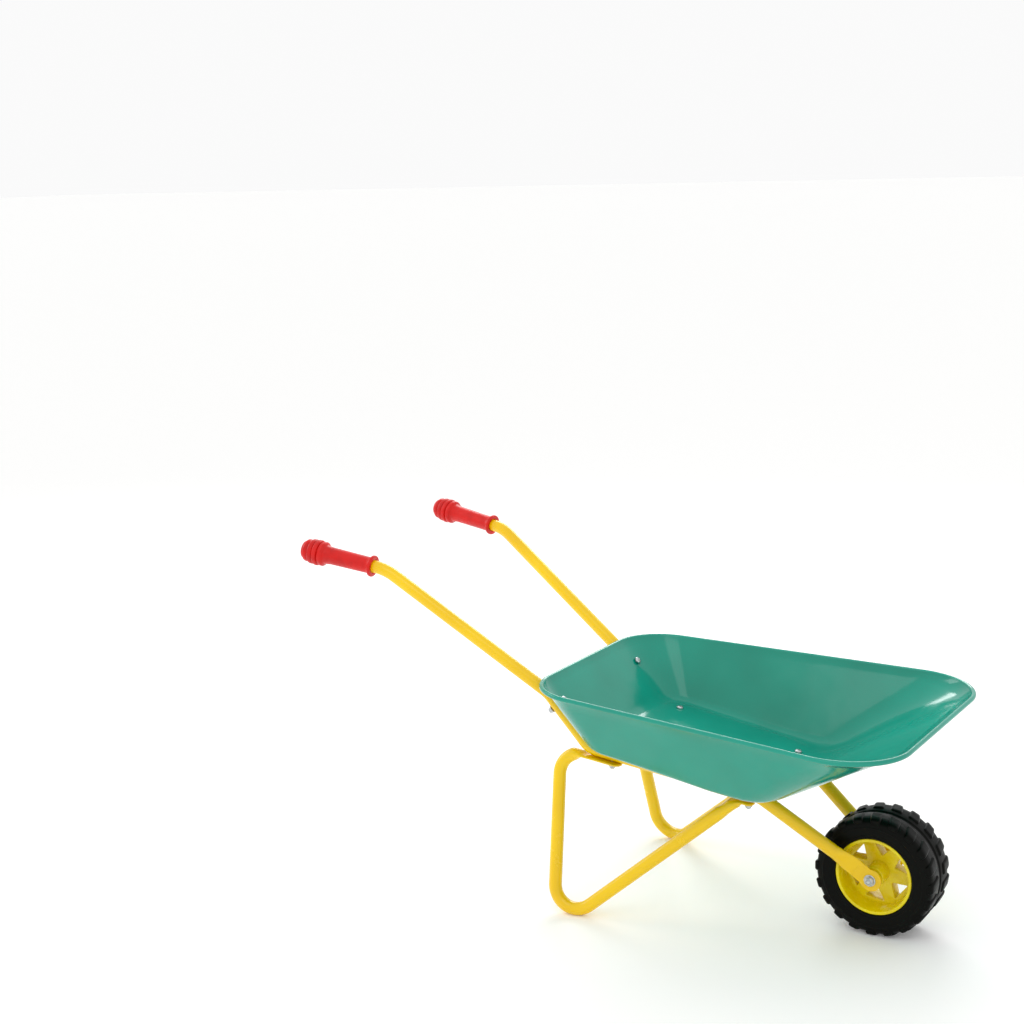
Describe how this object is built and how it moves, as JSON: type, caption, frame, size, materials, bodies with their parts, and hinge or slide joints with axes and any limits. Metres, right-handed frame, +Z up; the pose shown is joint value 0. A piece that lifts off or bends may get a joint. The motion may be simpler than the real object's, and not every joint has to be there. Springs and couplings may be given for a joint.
{
  "type": "wheelbarrow",
  "caption": "Child's steel wheelbarrow: teal pressed tray, yellow tube frame and legs, red grips, and a black tyre on a yellow spoked hub.",
  "frame": {"origin": "on the ground at the middle of the outline seen from above", "axes": "+X forwards to the wheel, +Y to the left side, +Z up"},
  "size_m": [0.7857, 0.3774, 0.4359],
  "materials": {
    "teal_paint": "gloss powder coat over pressed steel",
    "yellow_paint": "gloss powder coat over steel tube",
    "red_grip": "soft satin vinyl",
    "zinc": "bright zinc plate",
    "tyre_rubber": "satin moulded rubber",
    "yellow_plastic": "gloss moulded plastic",
    "nylon": "natural nylon, satin"
  },
  "bodies": {
    "frame": {"tray": "teal_paint", "frame_tube_left": "yellow_paint", "frame_tube_right": "yellow_paint", "leg_left": "yellow_paint", "leg_right": "yellow_paint", "grip_left": "red_grip", "grip_right": "red_grip", "wall_bolt_left": "zinc", "wall_bolt_right": "zinc", "wall_washer_left": "zinc", "wall_washer_right": "zinc", "wall_nut_left": "zinc", "wall_nut_right": "zinc", "rear_floor_bolt_left": "zinc", "rear_floor_bolt_right": "zinc", "rear_floor_washer_left": "zinc", "rear_floor_washer_right": "zinc", "rear_floor_nut_left": "zinc", "rear_floor_nut_right": "zinc", "front_floor_bolt_left": "zinc", "front_floor_bolt_right": "zinc", "front_floor_washer_left": "zinc", "front_floor_washer_right": "zinc", "front_floor_nut_left": "zinc", "front_floor_nut_right": "zinc", "axle": "zinc", "axle_spacer_left": "nylon", "axle_spacer_right": "nylon", "axle_washer_left": "zinc", "axle_washer_right": "zinc", "axle_nut_left": "zinc", "axle_nut_right": "zinc"},
    "wheel": {"tyre": "tyre_rubber", "wheel_hub": "yellow_plastic", "hub_bush_left": "nylon", "hub_bush_right": "nylon"}
  },
  "joints": [
    {"name": "wheel_spin", "type": "hinge", "parent": "frame", "child": "wheel", "pos_m": [0.3206, 0, 0.0723], "axis": [0, 1, 0], "continuous": true}
  ]
}
